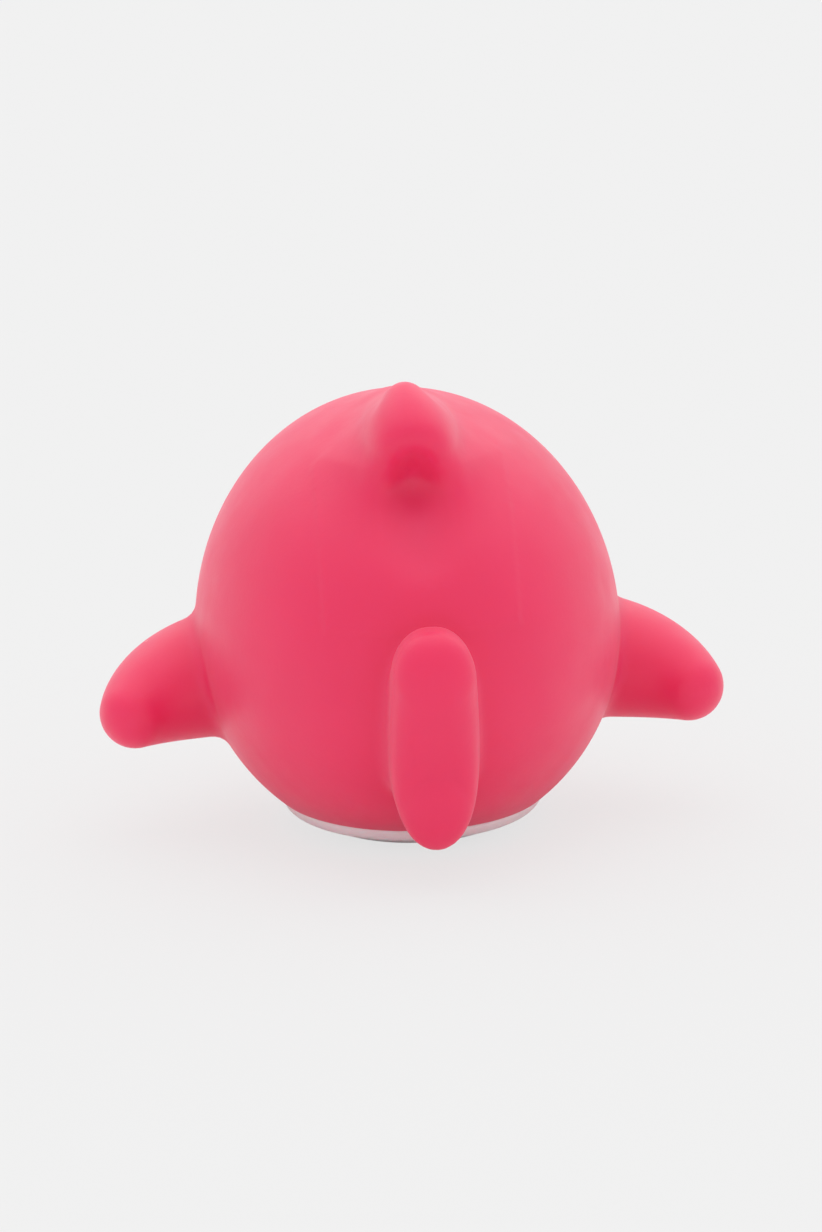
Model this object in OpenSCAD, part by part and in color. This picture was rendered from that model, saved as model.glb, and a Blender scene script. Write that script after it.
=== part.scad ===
// Squeaky bath toy: a hollow vinyl shark with a white belly and a reed squeaker in its base.
// Millimetres. +Z is up and the nose points to -Y.
// The origin is on the floor, under the middle of the toy's length.

/* [Body] */
// Width of the body at its widest
body_w = 66.4; // [60:0.4:72]
// Height of the back above the floor
body_h = 67.5; // [63:0.5:70]
// Length of the body ahead of its widest section
nose_len = 47; // [44:1:52]
// Length of the body behind its widest section
rump_len = 43; // [40:1:46]
// Height of the widest section above the floor
girth_z = 30; // [28:0.5:32]
// Depth that the flat base takes off the round belly
base_cut = 3.25; // [2.5:0.25:4]
// Thickness of the vinyl
wall = 2.2; // [1.8:0.1:2.6]

/* [Belly seam] */
// Height of the colour line round the back and the sides
seam_z = 4; // [3:0.1:5]
// Height of the colour line under the nose
seam_nose_z = 21; // [14:1:24]
// How late the colour line rises towards the nose
seam_sweep = 3; // [2:1:5]
// Height of the belly's tongue inside the lap joint
lap_h = 2; // [1.5:0.25:3]
// Gap between the two shells
seam_gap = 0.2; // [0.15:0.05:0.3]

/* [Dorsal fin] */
// Height of the tip above the floor
dorsal_top = 72.6; // [72:0.2:75]
// Distance of the tip behind the widest section
dorsal_back = 23.5; // [22.5:0.5:25]
// How far the soft tip leans to the +X side
dorsal_lean = 1; // [-2:0.5:2]
// How far the curved rear edge is drawn back behind the widest section
dorsal_hang = 32; // [30:0.5:34]
// Length of the root along the back
dorsal_len = 34; // [32:0.5:36]
// Thickness at the root
dorsal_thick = 17.5; // [15:0.5:19]
// Thickness at the tip
dorsal_tip = 8.5; // [7.5:0.5:9.5]
// Latitude of the root's middle on the back
dorsal_lat = 72; // [70:1:74]

/* [Pectoral fins] */
// Width over both fins
fin_span = 97.4; // [93:0.2:99]
// Height of a root's middle above the floor
fin_root_z = 24; // [22:0.2:26]
// Height of a tip's middle above the floor
fin_tip_z = 20.4; // [18:0.2:22]
// Depth of a root from top to bottom
fin_root_h = 20; // [17:0.5:22]
// Length of a root from front to back
fin_root_len = 27; // [23:1:30]
// Thickness of a tip
fin_tip = 11; // [9:0.2:12]
// Length of a tip from front to back
fin_tip_len = 12; // [11:0.5:14]
// How far the roots sit ahead of the widest section
fin_ahead = 3; // [0:1:6]
// How far a tip sweeps back from its root
fin_sweep = 11; // [7:1:13]

/* [Tail] */
// Distance of the tail's end behind the widest section
tail_reach = 53; // [51:1:57]
// Height of the upper lobe above the floor
tail_top = 40; // [38:0.5:43]
// Height of the lower lobe's tip above the floor
tail_low = 6.2; // [5:0.2:8]
// Thickness of the tail
tail_thick = 13; // [11:0.5:14]
// Length of a lobe from front to back
tail_lobe = 10; // [9:0.5:12]
// Height of the tail's root on the rump
tail_root_z = 25; // [23:0.5:28]

/* [Eyes] */
// Diameter of an eye
eye_d = 8.4; // [7:0.2:10]
// How far an eye domes out of the skin
eye_dome = 1.6; // [1.2:0.1:2]
// Depth of an eye's socket
eye_seat = 1; // [0.8:0.1:1.2]
// Bearing of an eye from the nose
eye_bearing = 36; // [30:1:44]
// Latitude of an eye on the body
eye_lat = 20; // [14:1:26]

/* [Squeaker] */
// Diameter of the hole in the base
seat_d = 16; // [15.5:0.5:17]
// Height of the seat's collar above the floor
seat_h = 8.5; // [8:0.25:9.5]
// Wall of the seat's collar
collar_wall = 2.2; // [2:0.1:2.6]
// Diameter of the squeaker's flange
flange_d = 19; // [18.5:0.25:19.5]
// Thickness of the squeaker's flange
flange_t = 1.2; // [1:0.1:1.3]
// How far the flange is sunk above the floor
flange_sink = 0.5; // [0.4:0.1:0.6]
// Wall of the squeaker's cup
cup_wall = 1; // [0.8:0.1:1.2]
// Height of the cup above the collar
cup_over = 2.4; // [2.2:0.1:3]
// Snap of the cup's bead over the collar
bead = 0.5; // [0.4:0.1:0.6]
// Thickness of the lid
lid_t = 1; // [0.8:0.1:1.2]
// Depth of the lid's spigot in the cup
spigot = 1.2; // [1:0.1:1.4]
// Width of the lid's slots
slot_w = 1.4; // [1:0.1:1.6]
// Number of slots in the lid
slot_count = 6; // [4:1:8]

/* [Reed] */
// Outer diameter of the reed tube
tube_d = 7; // [6.8:0.1:7.4]
// Wall of the reed tube
tube_wall = 0.8; // [0.6:0.05:0.9]
// Height of the reed tube above the cup's floor
tube_h = 7; // [6.6:0.1:7.2]
// Rim of the tube that stands on the cup's floor
tube_rim = 0.9; // [0.7:0.1:1.1]
// Width of the reed
reed_w = 3.2; // [2.8:0.1:3.6]
// Thickness of the reed
reed_t = 0.2; // [0.15:0.05:0.25]
// Length of the reed's root in the clamp
clamp_h = 2.2; // [2:0.1:2.6]
// Width of the air channel in the bed
channel_w = 1.8; // [1.4:0.1:2.2]
// Depth of the air channel in the bed
channel_deep = 1.3; // [1:0.1:1.4]
// Angle that the bed falls away behind the reed
lay_angle = 8; // [7:0.5:10]

/* [Hidden] */

// Clearances, and how far a cut runs past what it cuts
fit_gap = 0.1;
reed_gap = 0.15;
overrun = 1;

// Fineness of the surfaces
around = 52;
body_rows = 14;
back_rows = 18;
inner_rows = 12;
belly_rows = 8;
fin_steps = 5;
fin_facets = 18;
hollow_facets = 32;
round_fn = 64;
small_fn = 32;

vinyl_pink = [0.90, 0.27, 0.40];
vinyl_white = [0.95, 0.93, 0.92];
eye_black = [0.06, 0.06, 0.07];
cup_white = [0.88, 0.89, 0.91];
tube_grey = [0.75, 0.77, 0.80];
reed_amber = [0.85, 0.66, 0.32];

body_y = (nose_len - tail_reach) / 2;
half_w = body_w / 2;
back_rise = body_h - girth_z;
belly_drop = girth_z + base_cut;
inner_drop = girth_z - wall;

function mix(a, b, t) = a + (b - a) * t;
function bend(s, t) = mix(mix(s[0], s[1], t), mix(s[1], s[2], t), t);
function times(a, b) = [for (i = [0:2]) a[i] * b[i]];

// A point of the body at a bearing, 0 at the +X side and 90 at the tail, and at a latitude,
// taken in from the surface by a depth. The belly's floor keeps its wall above the flat base.
function half_len(a) = sin(a) > 0 ? rump_len : nose_len;
function half_rise(b, in) = b > 0 ? back_rise - in : belly_drop - in * (belly_drop - inner_drop) / wall;
function egg(a, b, in = 0) = [
    (half_w - in) * cos(b) * cos(a),
    body_y + (half_len(a) - in) * cos(b) * sin(a),
    girth_z + half_rise(b, in) * sin(b)
];

// The way out of the body's surface at a bearing and a latitude
function egg_out(a, b) = let (n = [
    cos(b) * cos(a) / half_w,
    cos(b) * sin(a) / half_len(a),
    sin(b) / half_rise(b, 0)
]) n / norm(n);

// The colour line runs low round the back and rises under the nose
function nose_rise(a) = pow(max(0, -sin(a)), seam_sweep);
function seam_height(a) = mix(seam_z, seam_nose_z, nose_rise(a));
function lat_of(length) = length / belly_drop * 180 / PI;
function seam_lat(a, up) = asin((seam_height(a) - girth_z) / belly_drop) + lat_of(up);

bearings = [for (i = [0:around - 1]) i * 360 / around];
function ring(b, in) = [for (a = bearings) egg(a, b, in)];
function seam_ring(up, in) = [for (a = bearings) egg(a, seam_lat(a, up), in)];
function belly_ring(t, up, in) = [for (a = bearings) egg(a, mix(-90, seam_lat(a, up), t), in)];
function back_ring(t, up, in) = [for (a = bearings) egg(a, mix(90, seam_lat(a, up), t), in)];

// A closed skin over a stack of rings, from a first point to a last point
module stack(rings, first, last) {
    count = len(rings);
    last_ring = 1 + (count - 1) * around;
    last_point = 1 + count * around;
    function next(i) = (i + 1) % around;
    start = [for (i = [0:around - 1]) [0, 1 + i, 1 + next(i)]];
    sides = [for (k = [0:count - 2], i = [0:around - 1])
        let (p = 1 + k * around, q = p + around)
            each [[p + i, q + i, q + next(i)], [p + i, q + next(i), p + next(i)]]];
    finish = [for (i = [0:around - 1]) [last_point, last_ring + next(i), last_ring + i]];
    polyhedron(points = concat([first], [for (r = rings) each r], [last]),
        faces = concat(start, sides, finish));
}

// The whole body as a solid, taken in by a depth
module body(in) {
    rings = [for (k = [1:body_rows - 1]) ring(mix(-90, 90, k / body_rows), in)];
    stack(rings, egg(0, -90, in), egg(0, 90, in));
}

// A fin is a chain of rounded lumps along a curve. Three places and three sizes set the curve,
// and three flats set how far each lump is drawn out sideways before it is rounded.
module lump(places, sizes, flats, tilt, t) {
    flat = bend(flats, t);
    translate(bend(places, t))
        rotate([tilt, 0, 0])
            for (dx = flat.x > 0 ? [-1, 1] : [0], dy = flat.y > 0 ? [-1, 1] : [0])
                translate([dx * flat.x, dy * flat.y, 0])
                    scale(bend(sizes, t) - 2 * flat)
                        sphere(d = 1, $fn = fin_facets);
}

no_flats = [[0, 0, 0], [0, 0, 0], [0, 0, 0]];
module fin(places, sizes, flats = no_flats, tilt = 0) {
    for (i = [0:fin_steps - 1])
        hull() {
            lump(places, sizes, flats, tilt, i / fin_steps);
            lump(places, sizes, flats, tilt, (i + 1) / fin_steps);
        }
}

// Dorsal fin: its rear edge is drawn back over a hollow
dorsal_tilt = -12;
dorsal_sink = 4.5;
dorsal_mid_share = 0.6;
dorsal_root_shares = [1, 1, 0.4];
dorsal_mid_shares = [0.8, 0.62, 0.35];
dorsal_tip_shares = [1, 1.5, 1.35];
hollow_shares = [0.78, 0.68, 0.52];
hollow_at_shares = [0, 0.25, -0.29];
dorsal_full = [dorsal_thick, dorsal_len, dorsal_len];
dorsal_root_at = egg(90, dorsal_lat, dorsal_sink);
dorsal_tip_at = [dorsal_lean, body_y + dorsal_back, dorsal_top - dorsal_tip * dorsal_tip_shares.z / 2];
dorsal_places = [
    dorsal_root_at,
    [
        dorsal_lean * dorsal_mid_share,
        body_y + dorsal_hang,
        mix(dorsal_root_at.z, dorsal_tip_at.z, dorsal_mid_share)
    ],
    dorsal_tip_at
];
dorsal_sizes = [
    times(dorsal_full, dorsal_root_shares),
    times(dorsal_full, dorsal_mid_shares),
    dorsal_tip * dorsal_tip_shares
];
module dorsal_fin() {
    difference() {
        fin(dorsal_places, dorsal_sizes, tilt = dorsal_tilt);
        translate(dorsal_places[1] + dorsal_len * hollow_at_shares)
            scale(times(dorsal_full, hollow_shares))
                sphere(d = 1, $fn = hollow_facets);
    }
}

// Pectoral fin on the +X side: a blunt paddle that droops and sweeps back
fin_root_share = 0.78;
fin_bend_shares = [0.7, 0, 0.3];
fin_mid_share = 0.15;
fin_root_at = [half_w * fin_root_share, body_y - fin_ahead, fin_root_z];
fin_tip_at = [fin_span / 2 - fin_tip / 2, fin_root_at.y + fin_sweep, fin_tip_z];
fin_root_size = [fin_root_h, fin_root_len, fin_root_h];
fin_tip_size = [fin_tip, fin_tip_len, fin_tip];
fin_places = [
    fin_root_at,
    fin_root_at + times(fin_tip_at - fin_root_at, fin_bend_shares),
    fin_tip_at
];
fin_sizes = [fin_root_size, mix(fin_root_size, fin_tip_size, fin_mid_share), fin_tip_size];

// Tail: a narrow stalk off the rump, and a flat-faced slab from the lower lobe to the upper one
stalk_root_shares = [1.2, 0.8, 1.6];
stalk_mid_shares = [0.25, 0.5, 0.8];
stalk_end_shares = [0.6, 0.7, 1.2];
stalk_sink_share = 0.8;
low_lobe_shares = [0.86, 0.7, 1.25];
mid_lobe_shares = [1.13, 1.2, 1];
top_lobe_shares = [0.94, 0.9, 1.1];
low_flat_shares = [0, 0.08, 0];
mid_flat_shares = [0.42, 0.38, 0];
top_flat_shares = [0.03, 0.12, 0];
crescent_share = 1.5;
crescent_drop_share = 0.6;
tail_end = body_y + tail_reach;
stalk_places = [
    [0, body_y + rump_len * stalk_sink_share, tail_root_z],
    [0, body_y + rump_len, tail_root_z],
    [0, tail_end - tail_lobe, tail_root_z]
];
stalk_sizes = tail_thick * [stalk_root_shares, stalk_mid_shares, stalk_end_shares];
tail_sizes = tail_thick * [low_lobe_shares, mid_lobe_shares, top_lobe_shares];
tail_flats = tail_thick * [low_flat_shares, mid_flat_shares, top_flat_shares];
tail_places = [
    [0, tail_end - tail_sizes[0].y, tail_low + tail_sizes[0].z / 2],
    [0, tail_end - tail_lobe * crescent_share, tail_root_z - tail_thick * crescent_drop_share],
    [0, tail_end - tail_sizes[2].y / 2, tail_top - tail_sizes[2].z / 2]
];

// Each shell has half of the wall in the lap joint
lap_share = 0.5;
tongue_in = wall * lap_share + seam_gap / 2;
rebate_in = wall * lap_share - seam_gap / 2;

// The back as a dome: down its inside, over the rebate for the tongue and up its outside
module back_dome() {
    inside = [for (k = [1:inner_rows]) back_ring(k / inner_rows, lap_h + seam_gap, wall)];
    rebate = [seam_ring(lap_h + seam_gap, rebate_in), seam_ring(seam_gap, rebate_in)];
    outside = [for (k = [back_rows:-1:1]) back_ring(k / back_rows, seam_gap, 0)];
    stack(concat(inside, rebate, outside), egg(0, 90, wall), egg(0, 90, 0));
}

// The fins, rooted in the middle of the wall
module fins() {
    difference() {
        union() {
            dorsal_fin();
            fin(fin_places, fin_sizes);
            mirror([1, 0, 0])
                fin(fin_places, fin_sizes);
            fin(stalk_places, stalk_sizes);
            fin(tail_places, tail_sizes, tail_flats);
        }
        body(wall * lap_share);
    }
}

// The belly as a bowl: up its outside, over the tongue and down its inside
module belly_bowl() {
    outside = [for (k = [1:belly_rows]) belly_ring(k / belly_rows, 0, 0)];
    tongue = [seam_ring(0, tongue_in), seam_ring(lap_h, tongue_in)];
    inside = [for (k = [belly_rows:-1:1]) belly_ring(k / belly_rows, lap_h, wall)];
    stack(concat(outside, tongue, inside), egg(0, -90, 0), egg(0, -90, wall));
}

module at_eye(side) {
    a = -90 + side * eye_bearing;
    out = egg_out(a, eye_lat);
    translate(egg(a, eye_lat))
        rotate([0, acos(out.z), atan2(out.y, out.x)])
            children();
}

module eye_socket() {
    translate([0, 0, -eye_seat - fit_gap])
        cylinder(d = eye_d + 2 * fit_gap, h = eye_seat + eye_dome + overrun, $fn = small_fn);
}

// An eye is a domed cap: a short plug under a slice of a ball
ball_r = (pow(eye_d / 2, 2) + pow(eye_dome, 2)) / (2 * eye_dome);
module eye() {
    color(eye_black)
        intersection() {
            translate([0, 0, eye_dome - ball_r])
                sphere(ball_r, $fn = round_fn);
            translate([0, 0, -eye_seat])
                cylinder(d = eye_d, h = eye_seat + eye_dome, $fn = small_fn);
        }
}

module back_skin() {
    color(vinyl_pink)
        difference() {
            union() {
                back_dome();
                fins();
            }
            at_eye(1)
                eye_socket();
            at_eye(-1)
                eye_socket();
        }
}

// The belly with its flat base, and the collar that holds the squeaker
module belly_skin() {
    color(vinyl_white)
        translate([0, body_y, 0])
            difference() {
                union() {
                    translate([0, -body_y, 0])
                        belly_bowl();
                    cylinder(d = seat_d + 2 * collar_wall, h = seat_h, $fn = round_fn);
                }
                translate([-half_w, -half_w, -belly_drop])
                    cube([body_w, body_w, belly_drop]);
                translate([0, 0, -overrun])
                    cylinder(d = seat_d, h = seat_h + 2 * overrun, $fn = round_fn);
                translate([0, 0, -overrun])
                    cylinder(d = flange_d + 2 * fit_gap, h = flange_sink + flange_t + fit_gap + overrun,
                        $fn = round_fn);
            }
}

module left_eye() {
    at_eye(1)
        eye();
}

module right_eye() {
    at_eye(-1)
        eye();
}

// Levels and radii of the squeaker, from the flange up
cup_r = seat_d / 2 - fit_gap;
cup_in_r = cup_r - cup_wall;
cup_floor = flange_sink + flange_t;
cup_top = seat_h + cup_over;
bead_low = seat_h + fit_gap;
tube_r = tube_d / 2;
tube_in_r = tube_r - tube_wall;
tube_top = cup_floor + tube_h;
set_r = tube_in_r - fit_gap;
set_low = flange_sink + fit_gap;
clamp_top = set_low + clamp_h;
reed_top = tube_top - reed_gap;
reed_slot = reed_t / 2 + reed_gap;

// The cup: a flange under the base, a barrel through the collar and a bead that snaps over it
module squeaker_cup() {
    color(cup_white)
        translate([0, body_y, 0])
            rotate_extrude($fn = round_fn)
                polygon([
                    [tube_r + fit_gap, flange_sink],
                    [flange_d / 2, flange_sink],
                    [flange_d / 2, cup_floor],
                    [cup_r, cup_floor],
                    [cup_r, bead_low],
                    [cup_r + bead, bead_low + bead],
                    [cup_r, bead_low + 3 * bead],
                    [cup_r, cup_top],
                    [cup_in_r, cup_top],
                    [cup_in_r, cup_floor],
                    [tube_r + fit_gap, cup_floor]
                ]);
}

// The lid: a plate on the cup's rim, with a spigot inside it and slots for the air
slot_shares = [0.25, 0.85];
module squeaker_lid() {
    spigot_r = cup_in_r - fit_gap;
    color(cup_white)
        translate([0, body_y, cup_top])
            difference() {
                union() {
                    cylinder(r = cup_r, h = lid_t, $fn = round_fn);
                    translate([0, 0, -spigot])
                        cylinder(r = spigot_r, h = spigot, $fn = round_fn);
                }
                translate([0, 0, -spigot - overrun])
                    cylinder(r = spigot_r - cup_wall, h = spigot + overrun, $fn = round_fn);
                for (i = [0:slot_count - 1])
                    rotate([0, 0, i * 360 / slot_count])
                        translate([cup_in_r * slot_shares[0], -slot_w / 2, -overrun])
                            cube([(spigot_r - cup_wall) * (slot_shares[1] - slot_shares[0]), slot_w,
                                lid_t + 2 * overrun]);
            }
}

// The tube through the cup's floor, with a rim that stands on it
module reed_tube() {
    color(tube_grey)
        translate([0, body_y, 0])
            rotate_extrude($fn = round_fn)
                polygon([
                    [tube_in_r, flange_sink],
                    [tube_r, flange_sink],
                    [tube_r, cup_floor],
                    [tube_r + tube_rim, cup_floor],
                    [tube_r + tube_rim, cup_floor + tube_rim],
                    [tube_r, cup_floor + tube_rim],
                    [tube_r, tube_top],
                    [tube_in_r, tube_top]
                ]);
}

// Half of a round bar on the +Y side of the reed
module half_bar(height) {
    intersection() {
        cylinder(r = set_r, h = height, $fn = round_fn);
        translate([-tube_r, reed_slot, 0])
            cube([tube_d, tube_r, height]);
    }
}

// The bed: a half bar with an air channel, whose face falls away above the clamp
module reed_bed() {
    color(tube_grey)
        translate([0, body_y, set_low])
            difference() {
                half_bar(reed_top - set_low);
                translate([-channel_w / 2, 0, -overrun])
                    cube([channel_w, reed_slot + channel_deep, reed_top - set_low - 2 * reed_gap]);
                translate([-tube_r, reed_slot, clamp_h])
                    rotate([-lay_angle, 0, 0])
                        translate([0, -tube_r, 0])
                            cube([tube_d, tube_r, tube_h]);
            }
}

// The wedge: a short half bar on the other side of the reed's root
module reed_wedge() {
    color(tube_grey)
        translate([0, body_y, set_low])
            mirror([0, 1, 0])
                half_bar(clamp_h);
}

module reed() {
    color(reed_amber)
        translate([-reed_w / 2, body_y - reed_t / 2, set_low])
            cube([reed_w, reed_t, reed_top - set_low]);
}

back_skin();
belly_skin();
left_eye();
right_eye();
squeaker_cup();
squeaker_lid();
reed_tube();
reed_bed();
reed();
reed_wedge();
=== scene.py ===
"""Squeaky bath toy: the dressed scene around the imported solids.

Shapes are worked out in millimetres, from the same values as the part's source, and scaled to
metres when a mesh is made. +Z is up, the nose points to -Y and +X is the toy's left side.
"""
import math

import bmesh
import bpy
import numpy as np
from mathutils import Matrix, Vector


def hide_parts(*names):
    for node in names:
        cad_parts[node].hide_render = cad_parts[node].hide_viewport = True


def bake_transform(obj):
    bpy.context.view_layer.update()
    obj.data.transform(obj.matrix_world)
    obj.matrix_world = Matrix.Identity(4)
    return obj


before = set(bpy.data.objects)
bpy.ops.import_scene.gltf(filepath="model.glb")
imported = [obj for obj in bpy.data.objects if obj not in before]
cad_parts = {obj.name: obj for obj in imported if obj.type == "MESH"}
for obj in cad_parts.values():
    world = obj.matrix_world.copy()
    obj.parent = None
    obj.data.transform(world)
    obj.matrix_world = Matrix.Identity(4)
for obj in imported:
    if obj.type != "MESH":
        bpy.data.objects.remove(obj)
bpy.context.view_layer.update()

MM = 0.001

# Body, the same values as the part's source
BODY_W = 66.4
BODY_H = 67.5
NOSE_LEN = 47.0
RUMP_LEN = 43.0
GIRTH_Z = 30.0
BASE_CUT = 3.25
WALL = 2.2
TAIL_REACH = 53.0
HALF_W = BODY_W / 2
BODY_Y = (NOSE_LEN - TAIL_REACH) / 2
BACK_RISE = BODY_H - GIRTH_Z
BELLY_DROP = GIRTH_Z + BASE_CUT
INNER_DROP = GIRTH_Z - WALL

# Colour line between the pink back and the white belly
SEAM_Z = 4.0
SEAM_NOSE_Z = 21.0
SEAM_SWEEP = 3
SEAM_GAP = 0.2
LAP_H = 2.0
TONGUE_IN = WALL / 2 + SEAM_GAP / 2
REBATE_IN = WALL / 2 - SEAM_GAP / 2
LIP_ROUND = 0.55
LIP_CUTS = (1.0, 0.5, 0.2, 0.0)
BEAD = 0.35
BEAD_DROP = 1.4
SHOULDER = 0.3

# Fins: three places and three full sizes each, on one quadratic curve. Shares are of a length.
FILLET = 2.0
DORSAL_TOP = 72.6
DORSAL_BACK = 23.5
DORSAL_LEAN = 1.0
DORSAL_HANG = 32.0
DORSAL_LEN = 34.0
DORSAL_THICK = 17.5
DORSAL_TIP = 8.5
DORSAL_LAT = 72.0
DORSAL_TILT = -12.0
DORSAL_SINK = 4.5
DORSAL_MID_SHARE = 0.6
DORSAL_ROOT_SHARES = (1, 1, 0.4)
DORSAL_MID_SHARES = (0.8, 0.62, 0.35)
DORSAL_TIP_SHARES = (1, 1.5, 1.35)

# Under the dorsal tip the fillet is wider, full below one height and gone above another, and a
# soft hollow runs out on the back
DORSAL_UNDER = (61.0, 67.0, 9.0)
HOLLOW_SHIFT = (0, 7.4, -8.0)
HOLLOW_RADII = np.array([4.6, 11.5, 8.5])
HOLLOW_SOFT = 5.0
HOLLOW_DEPTH = 1.3
HOLLOW_FLOOR_SOFT = 2.5

FIN_SPAN = 97.4
FIN_ROOT_Z = 24.0
FIN_TIP_Z = 20.4
FIN_ROOT = (20.0, 27.0, 20.0)
FIN_TIP = (11.0, 12.0, 11.0)
FIN_AHEAD = 3.0
FIN_SWEEP = 11.0
FIN_ROOT_SHARE = 0.78
FIN_BEND = (0.7, 0.0, 0.3)
FIN_MID_SHARE = 0.85
TAIL_TOP = 40.0
TAIL_LOW = 6.2
TAIL_THICK = 13.0
TAIL_LOBE = 10.0
TAIL_ROOT_Z = 25.0
TAIL_LOW_SHARES = (0.86, 0.7, 1.25)
TAIL_MID_SHARES = (1.13, 1.2, 1.0)
TAIL_TOP_SHARES = (0.94, 0.9, 1.1)
TAIL_SPREAD = ((0, 1, 0), (5.5, 5, 0), (0.4, 1.5, 0))
TAIL_WAIST_SHARE = 1.5
TAIL_WAIST_DROP = 8
STALK_ROOT_SHARE = 0.8
STALK_SHARES = ((1.2, 0.8, 1.6), (0.25, 0.5, 0.8), (0.6, 0.7, 1.2))
STALK_FILLET = 3.5

# Eyes
EYE_D = 8.4
EYE_DOME = 1.6
EYE_SEAT = 1.0
EYE_BEARING = 36.0
EYE_LAT = 20.0
EYE_EDGE = 0.3
GLINT_AIM = (-0.12, 0.30, 1)
GLINT_ANGLE = 7.5
SOCKET_RIM = 5.5
SOCKET_RIM_H = 0.45
SOCKET_RIM_W = 0.9
SOCKET_CLEAR = 0.55
SOCKET_EDGE = 0.4
SOCKET_FLOOR = 0.1
SOCKET_REACH = 2.5

# Grooves: gills in the back, as bearings from the side, and a mouth in the belly
GILL_BEARINGS = (-22.0, -28.0, -34.0)
GILL_LATS = (-4.0, 22.0)
GILL_W = 1.0
GILL_DEPTH = 0.6
MOUTH_HALF = 20.0
MOUTH_Z = 12.5
MOUTH_RISE = 2.5
MOUTH_W = 1.5
MOUTH_DEPTH = 1.1
GROOVE_REACH = 1.6
ON_SKIN = 0.5

# Squeaker's seat in the base, and the base's rounded edge
SEAT_R = 8.0
SEAT_H = 8.5
COLLAR_WALL = 2.2
COLLAR_EDGE = 0.3
COLLAR_FOOT = 1.0
POCKET_R = 9.6
POCKET_Z = 1.8
POCKET_EDGE = 0.35
FOOT_Z = 0.4
FLOOR_LAT = -70

# Mesh resolution
GRID = 0.7
AROUND = 288
FIN_LUMPS = 32

# Stage: light strengths, angles in degrees, and the camera's place in metres
SKY = 0.87
SUN = 0.36
SUN_SPREAD = 100
SUN_TILT = (22, -4, 0)
FLOOR_HALF = 6.0
FLOOR_DROP = 0.0002
FLOOR_GLOW = 0.845
FLOOR_GLOW_SHARE = 0.84
CAMERA_AZIMUTH = 175.5
CAMERA_ELEVATION = 12.3
CAMERA_ROLL = 1.8
CAMERA_LENS = 120.0
CAMERA_SENSOR = 36.0
CAMERA_CLIP = (0.01, 100)
CAMERA_ASIDE = 0.00046
CAMERA_AIM_Z = 0.0325
CAMERA_DISTANCE = 0.641


# Shape


def mix(a, b, t):
    return a + (b - a) * t


def half_len(front):
    return np.where(front, NOSE_LEN, RUMP_LEN)


def egg(bearing, lat, inset=0.0):
    """Point of the body at a bearing round the girth and a latitude, in degrees."""
    a, b = np.radians(bearing), np.radians(lat)
    a, b = np.broadcast_arrays(a, b)
    drop = BELLY_DROP - inset * (BELLY_DROP - INNER_DROP) / WALL
    rise = np.where(b > 0, BACK_RISE - inset, drop)
    return np.stack(
        [
            (HALF_W - inset) * np.cos(b) * np.cos(a),
            BODY_Y + (half_len(np.sin(a) < 0) - inset) * np.cos(b) * np.sin(a),
            GIRTH_Z + rise * np.sin(b),
        ],
        -1,
    )


def egg_radii(q):
    r = np.empty_like(q)
    r[:, 0] = HALF_W
    r[:, 1] = half_len(q[:, 1] < 0)
    r[:, 2] = np.where(q[:, 2] > 0, BACK_RISE, BELLY_DROP)
    return r


def ellipsoid(q, r):
    """Signed distance to an ellipsoid, good to first order near its surface."""
    u = q / r
    k0 = np.linalg.norm(u, axis=-1)
    k1 = np.linalg.norm(u / r, axis=-1)
    return k0 * (k0 - 1) / np.maximum(k1, 1e-9)


def egg_field(p):
    q = p - np.array([0.0, BODY_Y, GIRTH_Z])
    return ellipsoid(q, egg_radii(q))


def egg_out(bearing, lat):
    """Unit normal of the body."""
    q = (egg(bearing, lat) - np.array([0.0, BODY_Y, GIRTH_Z]))[None]
    n = (q / egg_radii(q) ** 2)[0]
    return n / np.linalg.norm(n)


def bend(three, t):
    a, b, c = (np.asarray(v, float) for v in three)
    return a * (1 - t) ** 2 + b * 2 * t * (1 - t) + c * t**2


class Fin:
    """A run of ellipsoids along a curve, tilted about X and spread, with a fillet to the body.

    Where it overhangs, under gives a wider fillet: full below one height, gone above another.
    """

    def __init__(self, places, sizes, fillet, tilt=0.0, spread=((0, 0, 0),) * 3, under=None):
        self.places, self.sizes, self.fillet, self.spread = places, sizes, fillet, spread
        self.under = under
        c, s = math.cos(math.radians(tilt)), math.sin(math.radians(tilt))
        self.turn = np.array([[1, 0, 0], [0, c, -s], [0, s, c]])
        pts = [bend(places, t) for t in np.linspace(0, 1, 9)]
        widest = max(bend(sizes, t).max() for t in np.linspace(0, 1, 9))
        big = widest / 2 + (under[2] if under else fillet) + 2 * GRID
        self.lo, self.hi = np.min(pts, 0) - big, np.max(pts, 0) + big

    def fillet_at(self, p):
        if not self.under:
            return self.fillet
        low, high, wide = self.under
        return mix(wide, self.fillet, np.clip((p[:, 2] - low) / (high - low), 0, 1))

    def field(self, p):
        best = np.full(len(p), 1e9)
        for t in np.linspace(0, 1, FIN_LUMPS):
            q = (p - bend(self.places, t)) @ self.turn
            flat = bend(self.spread, t)
            q = q - np.clip(q, -flat, flat)
            best = np.minimum(best, ellipsoid(q, bend(self.sizes, t) / 2 - flat))
        return best


def soft_min(a, b, k):
    h = np.maximum(k - np.abs(a - b), 0) / k
    return np.minimum(a, b) - h * h * k / 4


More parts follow.
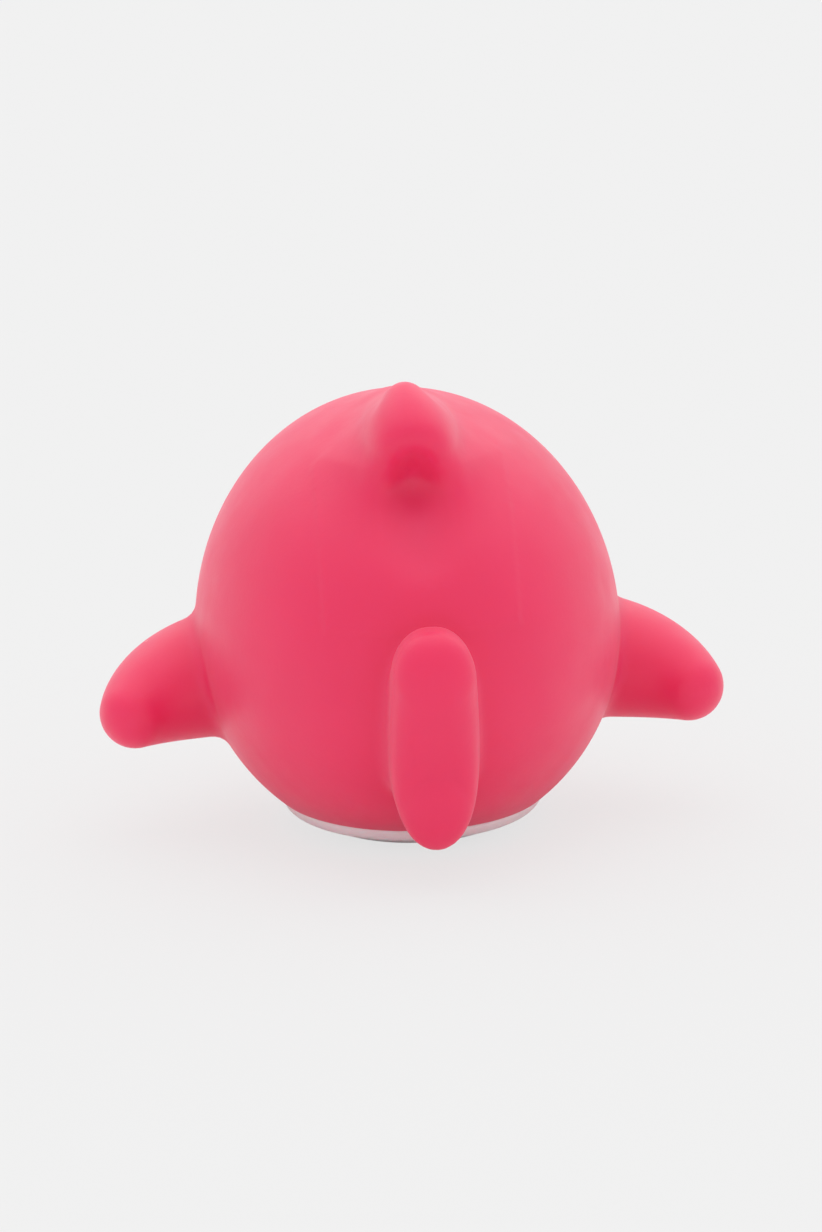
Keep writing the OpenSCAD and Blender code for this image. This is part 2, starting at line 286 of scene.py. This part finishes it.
dorsal_full = np.array([DORSAL_THICK, DORSAL_LEN, DORSAL_LEN])
dorsal_sizes = [
    dorsal_full * DORSAL_ROOT_SHARES,
    dorsal_full * DORSAL_MID_SHARES,
    DORSAL_TIP * np.array(DORSAL_TIP_SHARES),
]
dorsal_root = egg(90, DORSAL_LAT, DORSAL_SINK)
dorsal_tip = np.array([DORSAL_LEAN, BODY_Y + DORSAL_BACK, DORSAL_TOP - dorsal_sizes[2][2] / 2])
dorsal_mid_z = mix(dorsal_root[2], dorsal_tip[2], DORSAL_MID_SHARE)
dorsal_mid = np.array([DORSAL_LEAN * DORSAL_MID_SHARE, BODY_Y + DORSAL_HANG, dorsal_mid_z])
hollow_at = dorsal_mid + np.array(HOLLOW_SHIFT)
tail_end = BODY_Y + TAIL_REACH
low_size, mid_size, top_size = (
    TAIL_THICK * np.array(shares) for shares in (TAIL_LOW_SHARES, TAIL_MID_SHARES, TAIL_TOP_SHARES)
)


def pectoral(side):
    root = np.array([side * HALF_W * FIN_ROOT_SHARE, BODY_Y - FIN_AHEAD, FIN_ROOT_Z])
    tip = np.array([side * (FIN_SPAN / 2 - FIN_TIP[0] / 2), root[1] + FIN_SWEEP, FIN_TIP_Z])
    mid_place = root + (tip - root) * np.array(FIN_BEND)
    a, c = np.array(FIN_ROOT), np.array(FIN_TIP)
    return Fin([root, mid_place, tip], [a, mix(c, a, FIN_MID_SHARE), c], FILLET)


dorsal = Fin(
    [dorsal_root, dorsal_mid, dorsal_tip], dorsal_sizes, FILLET, DORSAL_TILT, under=DORSAL_UNDER
)
tail_stalk = Fin(
    [
        np.array([0, BODY_Y + RUMP_LEN * STALK_ROOT_SHARE, TAIL_ROOT_Z]),
        np.array([0, BODY_Y + RUMP_LEN, TAIL_ROOT_Z]),
        np.array([0, tail_end - TAIL_LOBE, TAIL_ROOT_Z]),
    ],
    [TAIL_THICK * np.array(shares) for shares in STALK_SHARES],
    STALK_FILLET,
)
tail_blade = Fin(
    [
        np.array([0, tail_end - low_size[1], TAIL_LOW + low_size[2] / 2]),
        np.array([0, tail_end - TAIL_LOBE * TAIL_WAIST_SHARE, TAIL_ROOT_Z - TAIL_WAIST_DROP]),
        np.array([0, tail_end - top_size[1] / 2, TAIL_TOP - top_size[2] / 2]),
    ],
    [low_size, mid_size, top_size],
    FILLET,
    spread=TAIL_SPREAD,
)
FINS = [dorsal, pectoral(1), pectoral(-1), tail_stalk, tail_blade]


def skin_field(p):
    d = egg_field(p)
    for fin in FINS:
        near = np.all((p > fin.lo) & (p < fin.hi), 1)
        if near.any():
            d[near] = soft_min(d[near], fin.field(p[near]), fin.fillet_at(p[near]))
    near = np.all(np.abs(p - hollow_at) < HOLLOW_RADII + 2 * HOLLOW_SOFT, 1)
    if near.any():
        cut = -soft_min(-d[near], ellipsoid(p[near] - hollow_at, HOLLOW_RADII), HOLLOW_SOFT)
        d[near] = soft_min(cut, egg_field(p[near]) + HOLLOW_DEPTH, HOLLOW_FLOOR_SOFT)
    return d


def gradient(field, p, eps=0.03):
    """Slope of a field, from four samples round each point."""
    corners = np.array([[1, -1, -1], [-1, -1, 1], [-1, 1, -1], [1, 1, 1]], float)
    return sum(c * field(p + eps * c)[:, None] for c in corners) / (4 * eps)


def settle(field, p, rounds=3):
    """Moves points along the field's gradient on to its surface."""
    for _ in range(rounds):
        g = gradient(field, p)
        p = p - g * (field(p) / np.maximum((g * g).sum(1), 1e-6))[:, None]
    return p


def surface_net(field, lo, hi, step):
    """Quads on the zero surface of a field, one point in each cell that the surface crosses."""
    axes = [np.arange(a, b + step, step) for a, b in zip(lo, hi)]
    grid = np.stack(np.meshgrid(*axes, indexing="ij"), -1)
    shape = grid.shape[:3]
    d = field(grid.reshape(-1, 3)).reshape(shape)
    neg = d < 0
    corner = [np.array([i, j, k]) for i in (0, 1) for j in (0, 1) for k in (0, 1)]
    part = [neg[tuple(slice(o, n - 1 + o) for o, n in zip(c, shape))] for c in corner]
    some = np.logical_or.reduce(part) & ~np.logical_and.reduce(part)
    cells = np.argwhere(some)
    index = np.full(some.shape, -1)
    index[some] = np.arange(len(cells))
    total, count = np.zeros((len(cells), 3)), np.zeros(len(cells))
    for c0 in corner:
        for k in range(3):
            if c0[k]:
                continue
            c1 = c0 + np.eye(3, dtype=int)[k]
            a, b = d[tuple((cells + c0).T)], d[tuple((cells + c1).T)]
            cross = (a < 0) != (b < 0)
            t = np.where(cross, a / np.where(cross, a - b, 1), 0)
            point = c0 + t[:, None] * (c1 - c0)
            total += np.where(cross[:, None], point, 0)
            count += cross
    verts = np.array(lo) + (cells + total / count[:, None]) * step
    quads = []
    for k in range(3):
        u, v = (k + 1) % 3, (k + 2) % 3
        first = [slice(None)] * 3
        second = [slice(None)] * 3
        first[k], second[k] = slice(0, -1), slice(1, None)
        flip = neg[tuple(first)] != neg[tuple(second)]
        at = np.argwhere(flip)
        at = at[(at[:, u] > 0) & (at[:, v] > 0)]
        out = neg[tuple(at.T)]
        ring = []
        for du, dv in ((1, 1), (0, 1), (0, 0), (1, 0)):
            c = at.copy()
            c[:, u] -= du
            c[:, v] -= dv
            ring.append(index[tuple(c.T)])
        quad = np.stack(ring, 1)
        quads.append(np.where(out[:, None], quad, quad[:, ::-1]))
    return verts, np.concatenate(quads)


def relax(field, verts, quads, rounds=3):
    """Evens out the points along the surface."""
    ends = np.concatenate([np.stack([quads[:, k], quads[:, (k + 1) % 4]], 1) for k in range(4)])
    for _ in range(rounds):
        total, count = np.zeros_like(verts), np.zeros(len(verts))
        np.add.at(total, ends[:, 0], verts[ends[:, 1]])
        np.add.at(count, ends[:, 0], 1)
        verts = settle(field, mix(verts, total / count[:, None], 0.6), 1)
    return settle(field, verts, 2)


# Colour line


def seam_lat(bearing, up=0.0):
    """Latitude of the colour line at a bearing, raised by a length along the skin."""
    rise = np.maximum(0, -np.sin(np.radians(bearing))) ** SEAM_SWEEP
    sine = (mix(SEAM_Z, SEAM_NOSE_Z, rise) - GIRTH_Z) / BELLY_DROP
    return np.degrees(np.arcsin(sine) + up / BELLY_DROP)


def bearing_lat(p):
    q = p - np.array([0.0, BODY_Y, GIRTH_Z])
    u = q / egg_radii(q)
    return (
        np.degrees(np.arctan2(u[:, 1], u[:, 0])),
        np.degrees(np.arctan2(u[:, 2], np.hypot(u[:, 0], u[:, 1]))),
    )


def above_seam(p):
    """Height of points above the colour line, along the skin."""
    bearing, lat = bearing_lat(p)
    return np.radians(lat - seam_lat(bearing)) * BELLY_DROP


# Mesh helpers


def to_object(name, bm, materials):
    mesh = bpy.data.meshes.new(name)
    bm.to_mesh(mesh)
    bm.free()
    mesh.transform(Matrix.Scale(MM, 4))
    mesh.polygons.foreach_set("use_smooth", [True] * len(mesh.polygons))
    for m in materials:
        mesh.materials.append(m)
    obj = bpy.data.objects.new(name, mesh)
    bpy.context.scene.collection.objects.link(obj)
    return obj


# Materials


class Shader:
    """A principled material with a few helpers for its nodes."""

    def __init__(self, name, **constant):
        self.material = bpy.data.materials.new(name)
        self.material.use_nodes = True
        self.tree = self.material.node_tree
        self.bsdf = self.tree.nodes["Principled BSDF"]
        self.set(self.bsdf, constant)
        self.coords = self.add("ShaderNodeTexCoord").outputs["Object"]

    def set(self, node, values):
        for key, value in values.items():
            socket = node.inputs[key.replace("_", " ")]
            if isinstance(value, bpy.types.NodeSocket):
                self.tree.links.new(value, socket)
            elif socket.type == "RGBA" and len(value) == 3:
                socket.default_value = (*value, 1)
            else:
                socket.default_value = value

    def add(self, kind, props=None, **values):
        node = self.tree.nodes.new(kind)
        for key, value in (props or {}).items():
            setattr(node, key, value)
        self.set(node, values)
        return node

    def noise(self, scale, detail=2.0, roughness=0.5):
        node = self.add("ShaderNodeTexNoise", Vector=self.coords, Scale=scale)
        self.set(node, {"Detail": detail, "Roughness": roughness})
        return node.outputs["Fac"]

    def remap(self, value, low, high, to_low=0.0, to_high=1.0):
        node = self.add("ShaderNodeMapRange")
        node.clamp = True
        self.tree.links.new(value, node.inputs["Value"])
        ends = {"From Min": low, "From Max": high, "To Min": to_low, "To Max": to_high}
        for key, number in ends.items():
            node.inputs[key].default_value = number
        return node.outputs["Result"]

    def blend(self, factor, a, b, mode="MIX"):
        node = self.add("ShaderNodeMix", {"data_type": "RGBA", "blend_type": mode})
        for socket, value in ((node.inputs[0], factor), (node.inputs[6], a), (node.inputs[7], b)):
            if isinstance(value, bpy.types.NodeSocket):
                self.tree.links.new(value, socket)
            elif isinstance(value, (tuple, list)):
                socket.default_value = (*value, 1)
            else:
                socket.default_value = value
        return node.outputs[2]

    def times(self, a, b):
        node = self.add("ShaderNodeMath", {"operation": "MULTIPLY"})
        for socket, value in zip(node.inputs, (a, b)):
            if isinstance(value, bpy.types.NodeSocket):
                self.tree.links.new(value, socket)
            else:
                socket.default_value = value
        return node.outputs[0]

    def bump(self, height, strength, distance):
        node = self.add("ShaderNodeBump", Height=height)
        node.inputs["Strength"].default_value = strength
        node.inputs["Distance"].default_value = distance
        self.tree.links.new(node.outputs["Normal"], self.bsdf.inputs["Normal"])

    def specks(self, scale, share, size):
        """Few small dots: cells of a scattered pattern, most of them left out."""
        cells = self.add("ShaderNodeTexVoronoi", Vector=self.coords, Scale=scale)
        dot = self.remap(cells.outputs["Distance"], size, size * 0.6)
        split = self.add("ShaderNodeSeparateColor", Color=cells.outputs["Color"])
        chosen = self.remap(split.outputs["Red"], 1 - share, 1 - share + 0.01)
        return self.times(dot, chosen)


def vinyl(name, light, deep, speck):
    s = Shader(name)
    s.set(s.bsdf, {"Specular IOR Level": 0.5, "Sheen Weight": 0.13, "Sheen Roughness": 0.5})
    s.bsdf.inputs["Sheen Tint"].default_value = (1, 1, 1, 1)
    s.bsdf.inputs["Subsurface Weight"].default_value = 0.35
    s.bsdf.inputs["Subsurface Scale"].default_value = 0.003
    s.bsdf.inputs["Subsurface Radius"].default_value = (1.0, 0.2, 0.25)
    broad = s.remap(s.noise(45, 3), 0.35, 0.65)
    colour = s.blend(broad, deep, light)
    colour = s.blend(s.times(s.specks(170, 0.05, 0.07), 0.6), colour, speck)
    s.set(s.bsdf, {"Base Color": colour})
    fine = s.noise(1400, 4, 0.6)
    s.set(s.bsdf, {"Roughness": s.remap(s.noise(160, 3), 0.3, 0.7, 0.42, 0.52)})
    s.bump(fine, 0.12, 0.0002)
    return s.material


def plastic(name, colour, shade, roughness):
    s = Shader(name)
    s.set(s.bsdf, {"Base Color": s.blend(s.remap(s.noise(220, 3), 0.35, 0.65), colour, shade)})
    worn = s.remap(s.noise(500, 3), 0.3, 0.7, roughness - 0.06, roughness + 0.06)
    s.set(s.bsdf, {"Roughness": worn})
    s.bump(s.noise(2500, 3), 0.1, 0.0001)
    return s.material


PINK = vinyl("pink_vinyl", (0.83, 0.018, 0.107), (0.80, 0.0155, 0.100), (0.85, 0.6, 0.62))
WHITE = vinyl("white_vinyl", (0.93, 0.82, 0.84), (0.91, 0.79, 0.81), (0.7, 0.6, 0.6))
BLACK = plastic("eye_black", (0.008, 0.008, 0.009), (0.012, 0.012, 0.013), 0.16)
GLINT = plastic("eye_white", (0.80, 0.80, 0.80), (0.76, 0.76, 0.76), 0.3)
CUP = plastic("squeaker_plastic", (0.74, 0.76, 0.78), (0.68, 0.70, 0.73), 0.45)
TUBE = plastic("tube_plastic", (0.50, 0.53, 0.57), (0.45, 0.48, 0.52), 0.5)
FILM = plastic("reed_film", (0.62, 0.38, 0.10), (0.55, 0.33, 0.08), 0.25)


# Pieces


def cut_level(bm, level, at):
    """Adds an edge loop along the skin where the height above the colour line has one value."""
    fresh = []
    for edge in list(bm.edges):
        a, b = edge.verts
        da, db = level[a] - at, level[b] - at
        if da * db < 0:
            new = bmesh.utils.edge_split(edge, a, da / (da - db))[1]
            level[new] = at
            fresh.append(new)
    bmesh.ops.connect_verts(bm, verts=fresh)


def add_rings(bm, rings, poles=(None, None)):
    """Joins rings of points with quads, and closes either end at a point."""
    made = [[bm.verts.new(p) for p in ring] for ring in rings]
    for low, high in zip(made, made[1:]):
        for k in range(len(low)):
            n = (k + 1) % len(low)
            bm.faces.new((low[k], low[n], high[n], high[k]))
    for ring, pole in ((made[0], poles[0]), (made[-1], poles[1])):
        if pole is not None:
            tip = bm.verts.new(pole)
            for k in range(len(ring)):
                bm.faces.new((ring[k], ring[(k + 1) % len(ring)], tip))
    return made


def polyline_distance(p, points):
    best = np.full(len(p), 1e9)
    for a, b in zip(points, points[1:]):
        along = np.clip(((p - a) @ (b - a)) / ((b - a) @ (b - a)), 0, 1)
        best = np.minimum(best, np.linalg.norm(p - a - along[:, None] * (b - a), axis=1))
    return best


def stitch(bm, first, second):
    """Triangles between two loops round the body, taken in order of their bearing."""
    def bearing(v):
        return math.atan2(v.co.y - BODY_Y, v.co.x)

    a, b = sorted(first, key=bearing), sorted(second, key=bearing)
    turns_a = [bearing(v) for v in a] + [bearing(a[0]) + 2 * math.pi]
    turns_b = [bearing(v) for v in b] + [bearing(b[0]) + 2 * math.pi]
    i = j = 0
    while i < len(a) or j < len(b):
        here, there = a[i % len(a)], b[j % len(b)]
        if j == len(b) or (i < len(a) and turns_a[i + 1] <= turns_b[j + 1]):
            i += 1
            bm.faces.new((here, a[i % len(a)], there))
        else:
            j += 1
            bm.faces.new((here, b[j % len(b)], there))


class Groove:
    """A round-bottomed groove along a line on the skin."""

    def __init__(self, points, width, depth):
        self.points, self.width, self.depth = points, width, depth

    def near(self, p):
        return polyline_distance(p, self.points) < GROOVE_REACH * self.width

    def move(self, p, out):
        share = np.clip(polyline_distance(p, self.points) / self.width, 0, 1)
        return p - out * (self.depth * (1 - share**2) ** 2)[:, None]


class Socket:
    """A flat seat for an eye, with a soft raised rim."""

    def __init__(self, bearing):
        self.at, self.axis = egg(bearing, EYE_LAT), egg_out(bearing, EYE_LAT)

    def near(self, p):
        return np.linalg.norm(p - self.at, axis=1) < SOCKET_RIM + SOCKET_REACH

    def move(self, p, out):
        q = p - self.at
        height = q @ self.axis
        r = np.linalg.norm(q - height[:, None] * self.axis, axis=1)
        t = np.clip((EYE_D / 2 + SOCKET_CLEAR - r) / SOCKET_EDGE, 0, 1)
        sunk = t * t * (3 - 2 * t)
        rim = SOCKET_RIM_H * np.exp(-(((r - SOCKET_RIM) / SOCKET_RIM_W) ** 2))
        return p + self.axis * mix(rim, -EYE_SEAT - SOCKET_FLOOR - height, sunk)[:, None]


def touched(bm, field, mark):
    """Points on the skin that a mark reaches."""
    verts = list(bm.verts)
    p = np.array([v.co for v in verts])
    near = mark.near(p)
    near[near] = np.abs(field(p[near])) < ON_SKIN
    return {v for v, n in zip(verts, near) if n}


def carve(bm, field, marks, cuts=2):
    """Refines the mesh near each mark, settles the new points and presses the mark in."""
    for mark in marks:
        chosen = touched(bm, field, mark)
        edges = [e for e in bm.edges if e.verts[0] in chosen and e.verts[1] in chosen]
        bmesh.ops.subdivide_edges(bm, edges=edges, cuts=cuts, use_grid_fill=True)
        chosen = list(touched(bm, field, mark))
        p = settle(field, np.array([v.co for v in chosen]))
        out = gradient(field, p)
        for v, co in zip(chosen, mark.move(p, out / np.linalg.norm(out, axis=1)[:, None])):
            v.co = co


def make_skin():
    lo = np.array([-FIN_SPAN / 2, BODY_Y - NOSE_LEN, -BASE_CUT]) - 3 * GRID
    hi = np.array([FIN_SPAN / 2, tail_end, DORSAL_TOP + 1]) + 3 * GRID
    verts, quads = surface_net(skin_field, lo, hi, GRID)
    verts = relax(skin_field, verts, quads)
    height = above_seam(verts)
    bm = bmesh.new()
    bv = [bm.verts.new(v) for v in verts]
    for q in quads[height[quads].max(1) > -2 * GRID]:
        bm.faces.new([bv[i] for i in q])
    bmesh.ops.delete(bm, geom=[v for v in bm.verts if not v.link_faces], context="VERTS")

    level = dict(zip(bm.verts, above_seam(np.array([v.co for v in bm.verts]))))
    for share in LIP_CUTS:
        cut_level(bm, level, SEAM_GAP + share * LIP_ROUND)
    low = [f for f in bm.faces if sum(level[v] - SEAM_GAP for v in f.verts) < 0]
    bmesh.ops.delete(bm, geom=low, context="FACES")
    lip = [v for v in bm.verts if level[v] < SEAM_GAP + LIP_ROUND]
    out = gradient(egg_field, np.array([v.co for v in lip]))
    for v, n in zip(lip, out):
        share = 1 - (level[v] - SEAM_GAP) / LIP_ROUND
        v.co -= Vector(n) * LIP_ROUND * (1 - math.sqrt(max(0, 1 - share * share)))

    sides = [lambda b: b, lambda b: -180 - b]
    gills = [
        Groove([egg(side(b), lat) for lat in np.linspace(*GILL_LATS, 12)], GILL_W, GILL_DEPTH)
        for side in sides
        for b in GILL_BEARINGS
    ]
    carve(bm, skin_field, [Socket(-90 + EYE_BEARING), Socket(-90 - EYE_BEARING)] + gills)

    rim = {v for e in bm.edges if len(e.link_faces) == 1 for v in e.verts}
    bearing = np.arange(AROUND) * 360 / AROUND
    lap = seam_lat(bearing, LAP_H + SEAM_GAP)
    rings = [egg(bearing, seam_lat(bearing, SEAM_GAP), REBATE_IN), egg(bearing, lap, REBATE_IN)]
    rings += [egg(bearing, mix(lap, 90, t), WALL) for t in np.linspace(0, 1, 25)[:-1]]
    made = add_rings(bm, rings, (None, egg(0, 90, WALL)))
    stitch(bm, rim, made[0])
    bmesh.ops.recalc_face_normals(bm, faces=bm.faces)
    return to_object("skin", bm, [PINK])


def make_belly():
    bearing = np.arange(AROUND) * 360 / AROUND
    turn = np.radians(bearing)
    ray = np.stack([np.cos(turn), np.sin(turn), 0 * turn], 1)
    middle = np.array([0, BODY_Y, 0])

    def circle(r, z):
        return middle + ray * r + np.array([0, 0, z])

    def sole(inside, z):
        edge = egg(bearing, math.degrees(math.asin(-GIRTH_Z / BELLY_DROP))) - middle
        kept = 1 - inside / np.linalg.norm(edge, axis=1)
        return middle + edge * kept[:, None] + np.array([0, 0, z])

    def bead(below):
        """How far the belly's rounded edge stands out, at a length below the colour line."""
        return BEAD * (1 - (below / BEAD_DROP - 1) ** 2) if below < 2 * BEAD_DROP else 0.0

    foot = math.degrees(math.asin((FOOT_Z - GIRTH_Z) / BELLY_DROP))
    rows = 44
    rings = [circle(SEAT_R, POCKET_Z), circle(POCKET_R, POCKET_Z), circle(POCKET_R, 0.3)]
    pocket_edge = circle(POCKET_R + POCKET_EDGE, 0)
    rings += [circle(POCKET_R + 0.1, 0.08), pocket_edge]
    rings += [mix(pocket_edge, sole(1.0, 0), t) for t in (0.33, 0.66, 1.0)]
    rings += [sole(0.5, 0.03), sole(0.15, 0.15)]
    edge = 2 * BEAD_DROP
    rings += [egg(bearing, mix(foot, seam_lat(bearing, -edge), t)) for t in np.linspace(0, 1, rows)]
    for below in np.linspace(edge, SHOULDER, 10)[1:]:
        rings.append(egg(bearing, seam_lat(bearing, -below), -bead(below)))
    for angle in (30, 60, 90):
        sine, cosine = math.sin(math.radians(angle)), math.cos(math.radians(angle))
        inset = SHOULDER * (1 - cosine) - bead(SHOULDER)
        rings.append(egg(bearing, seam_lat(bearing, -SHOULDER * (1 - sine)), inset))
    top = seam_lat(bearing, LAP_H)
    rings += [egg(bearing, lat, TONGUE_IN) for lat in (seam_lat(bearing), top)]
    rings += [egg(bearing, mix(top, FLOOR_LAT, t), WALL) for t in np.linspace(0, 1, 20)]
    collar = SEAT_R + COLLAR_WALL
    rings += [circle(collar, WALL + COLLAR_FOOT), circle(collar, SEAT_H - COLLAR_EDGE)]
    rings += [circle(collar - COLLAR_EDGE, SEAT_H), circle(SEAT_R + COLLAR_EDGE, SEAT_H)]
    rings.append(circle(SEAT_R, SEAT_H - COLLAR_EDGE))
    bm = bmesh.new()
    made = add_rings(bm, rings)
    for k in range(AROUND):
        n = (k + 1) % AROUND
        bm.faces.new((made[-1][k], made[-1][n], made[0][n], made[0][k]))

    def lip_point(share):
        z = MOUTH_Z + MOUTH_RISE * share**2
        return egg(-90 + MOUTH_HALF * share, math.degrees(math.asin((z - GIRTH_Z) / BELLY_DROP)))

    mouth = [lip_point(t) for t in np.linspace(-1, 1, 40)]
    carve(bm, egg_field, [Groove(mouth, MOUTH_W, MOUTH_DEPTH)])
    bmesh.ops.recalc_face_normals(bm, faces=bm.faces)
    return to_object("belly", bm, [WHITE])


def make_eye(name, bearing):
    """A domed cap on its seat, with a small round glint near the top."""
    r = EYE_D / 2
    ball = (r * r + EYE_DOME * EYE_DOME) / (2 * EYE_DOME)
    rim = math.asin(r / ball)
    turn = np.linspace(0, 2 * math.pi, 72, endpoint=False)
    profile = [(r - EYE_EDGE, -EYE_SEAT), (r, -EYE_SEAT + EYE_EDGE), (r, -0.12), (r - 0.04, 0.02)]
    for a in np.linspace(rim * 0.97, 0, 16)[:-1]:
        profile.append((ball * math.sin(a), ball * math.cos(a) - ball + EYE_DOME))
    rings = [
        np.stack([radius * np.cos(turn), radius * np.sin(turn), 0 * turn + z], 1)
        for radius, z in profile
    ]
    bm = bmesh.new()
    add_rings(bm, rings, ((0, 0, -EYE_SEAT), (0, 0, EYE_DOME)))

    axis = Vector(egg_out(bearing, EYE_LAT))
    across = Vector((0, 0, 1)).cross(axis).normalized()
    up = axis.cross(across)
    glint = Vector(GLINT_AIM).normalized()
    centre = Vector((0, 0, EYE_DOME - ball))
    plane = centre + glint * ball * math.cos(math.radians(GLINT_ANGLE))
    whole = bm.verts[:] + bm.edges[:] + bm.faces[:]
    bmesh.ops.bisect_plane(bm, geom=whole, plane_co=plane, plane_no=glint)
    bmesh.ops.recalc_face_normals(bm, faces=bm.faces)
    for f in bm.faces:
        f.material_index = int((f.calc_center_median() - plane).dot(glint) > 0)
    place = Matrix((across, up, axis)).transposed().to_4x4()
    place.translation = Vector(egg(bearing, EYE_LAT))
    bmesh.ops.transform(bm, matrix=place, verts=bm.verts)
    return to_object(name, bm, [BLACK, GLINT])


def dress(piece, node):
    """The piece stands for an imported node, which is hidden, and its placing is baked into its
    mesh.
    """
    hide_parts(node)
    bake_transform(piece)


dress(make_skin(), "back_skin")
dress(make_belly(), "belly_skin")
dress(make_eye("eye_left", -90 + EYE_BEARING), "left_eye")
dress(make_eye("eye_right", -90 - EYE_BEARING), "right_eye")

for material, nodes in (
    (CUP, ("squeaker_cup", "squeaker_lid")),
    (TUBE, ("reed_tube", "reed_bed", "reed_wedge")),
    (FILM, ("reed",)),
):
    for node in nodes:
        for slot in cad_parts[node].material_slots:
            slot.material = material


# Stage


def make_floor():
    s = Shader("floor", Roughness=0.7)
    s.set(s.bsdf, {"Specular IOR Level": 0.1})
    s.set(s.bsdf, {"Base Color": s.blend(s.noise(3, 2), (0.87, 0.87, 0.87), (0.88, 0.88, 0.88))})
    glow = s.add("ShaderNodeEmission", Color=(FLOOR_GLOW,) * 3)
    path = s.add("ShaderNodeLightPath")
    pale = s.add("ShaderNodeMixShader")
    s.tree.links.new(s.times(path.outputs["Is Camera Ray"], FLOOR_GLOW_SHARE), pale.inputs[0])
    s.tree.links.new(s.bsdf.outputs[0], pale.inputs[1])
    s.tree.links.new(glow.outputs[0], pale.inputs[2])
    s.tree.links.new(pale.outputs[0], s.tree.nodes["Material Output"].inputs["Surface"])
    corners = [(x * FLOOR_HALF, y * FLOOR_HALF, 0) for x, y in ((-1, -1), (1, -1), (1, 1), (-1, 1))]
    mesh = bpy.data.meshes.new("floor")
    mesh.from_pydata(corners, [], [(0, 1, 2, 3)])
    mesh.materials.append(s.material)
    floor = bpy.data.objects.new("floor", mesh)
    floor.location.z = -FLOOR_DROP
    bpy.context.scene.collection.objects.link(floor)


def make_light():
    world = bpy.data.worlds.new("tent")
    bpy.context.scene.world = world
    world.use_nodes = True
    back = world.node_tree.nodes["Background"]
    back.inputs["Color"].default_value = (1, 1, 1, 1)
    back.inputs["Strength"].default_value = SKY
    data = bpy.data.lights.new("overhead", "SUN")
    data.energy = SUN * math.pi
    data.angle = math.radians(SUN_SPREAD)
    lamp = bpy.data.objects.new("overhead", data)
    lamp.rotation_euler = [math.radians(angle) for angle in SUN_TILT]
    bpy.context.scene.collection.objects.link(lamp)


def make_camera():
    azimuth, elevation, roll = (
        math.radians(angle) for angle in (CAMERA_AZIMUTH, CAMERA_ELEVATION, CAMERA_ROLL)
    )
    outward = Vector((math.sin(azimuth), -math.cos(azimuth), 0))
    back = outward * math.cos(elevation) + Vector((0, 0, math.sin(elevation)))
    level = Vector((math.cos(azimuth), math.sin(azimuth), 0))
    up = back.cross(level)
    right = level * math.cos(roll) - up * math.sin(roll)
    up = level * math.sin(roll) + up * math.cos(roll)
    data = bpy.data.cameras.new("camera")
    data.lens = CAMERA_LENS
    data.sensor_width = CAMERA_SENSOR
    data.clip_start, data.clip_end = CAMERA_CLIP
    camera = bpy.data.objects.new("camera", data)
    place = level * CAMERA_ASIDE + Vector((0, 0, CAMERA_AIM_Z)) + back * CAMERA_DISTANCE
    camera.matrix_world = Matrix(
        (
            (right.x, up.x, back.x, place.x),
            (right.y, up.y, back.y, place.y),
            (right.z, up.z, back.z, place.z),
            (0, 0, 0, 1),
        )
    )
    bpy.context.scene.collection.objects.link(camera)
    bpy.context.scene.camera = camera


make_floor()
make_light()
make_camera()
bpy.context.scene.view_settings.view_transform = "Standard"
